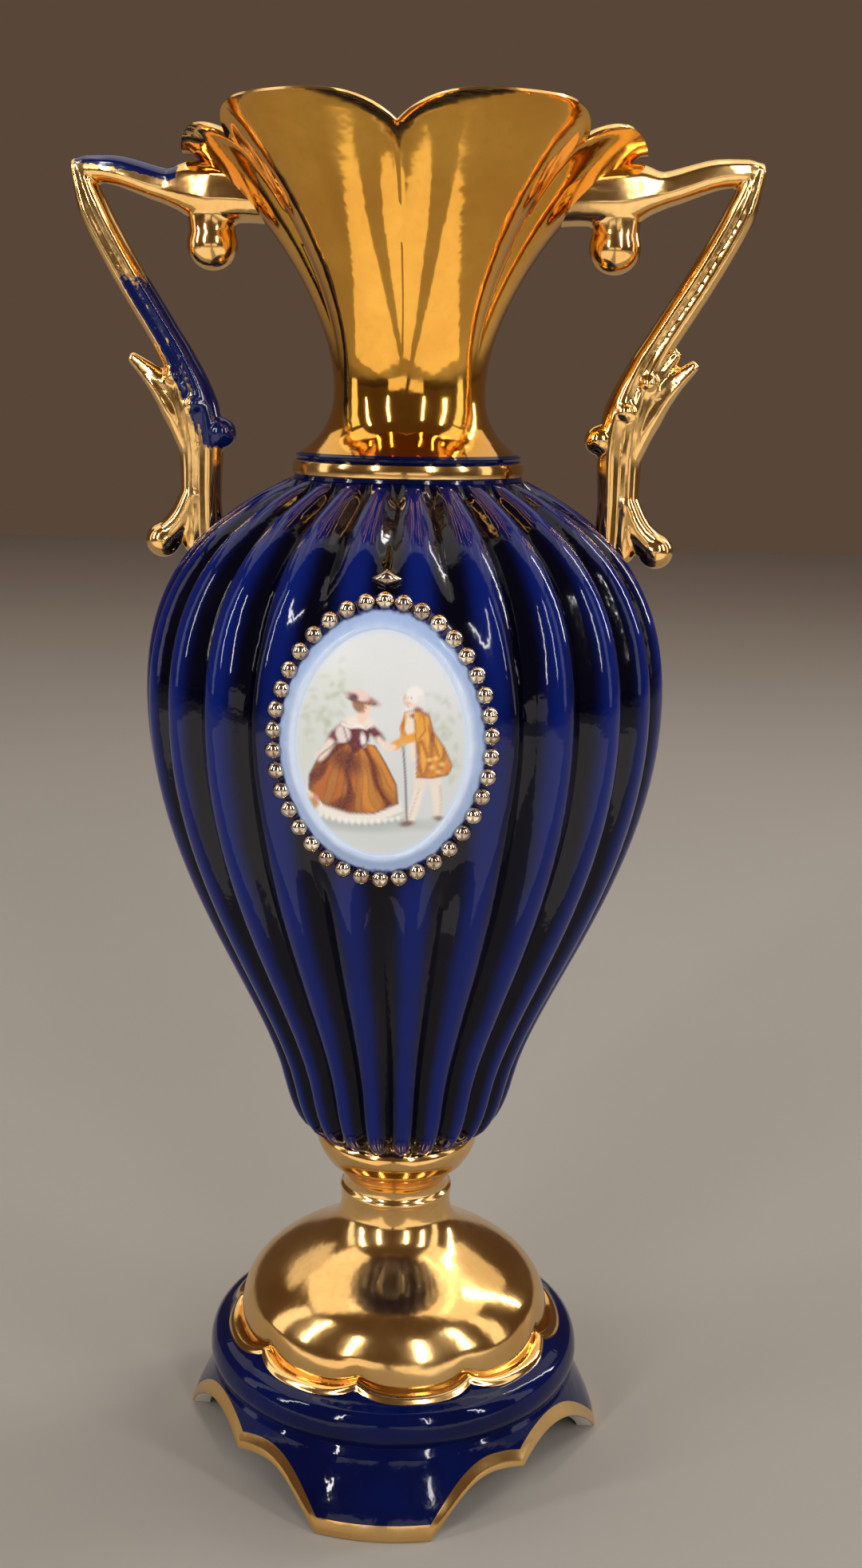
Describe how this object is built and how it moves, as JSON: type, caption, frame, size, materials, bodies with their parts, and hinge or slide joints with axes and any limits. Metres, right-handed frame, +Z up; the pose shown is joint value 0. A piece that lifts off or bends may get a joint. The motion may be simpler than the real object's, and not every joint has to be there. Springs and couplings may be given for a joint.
{
  "type": "two-handled vase",
  "caption": "Tall baluster mantel vase with a hollow ribbed body, lobed trumpet neck, scroll handles, beaded oval frame and a domed, arched foot.",
  "frame": {"origin": "on the floor under the middle of the foot", "axes": "+Z up along the axis of the vase, -Y towards the front with the oval frame, the handles at +X and -X"},
  "size_m": [0.1962, 0.1533, 0.401],
  "materials": {
    "vase": "deep cobalt gloss glaze with amber gold lustre and a painted oval"
  },
  "bodies": {
    "root": {"vase": "vase"}
  },
  "joints": []
}
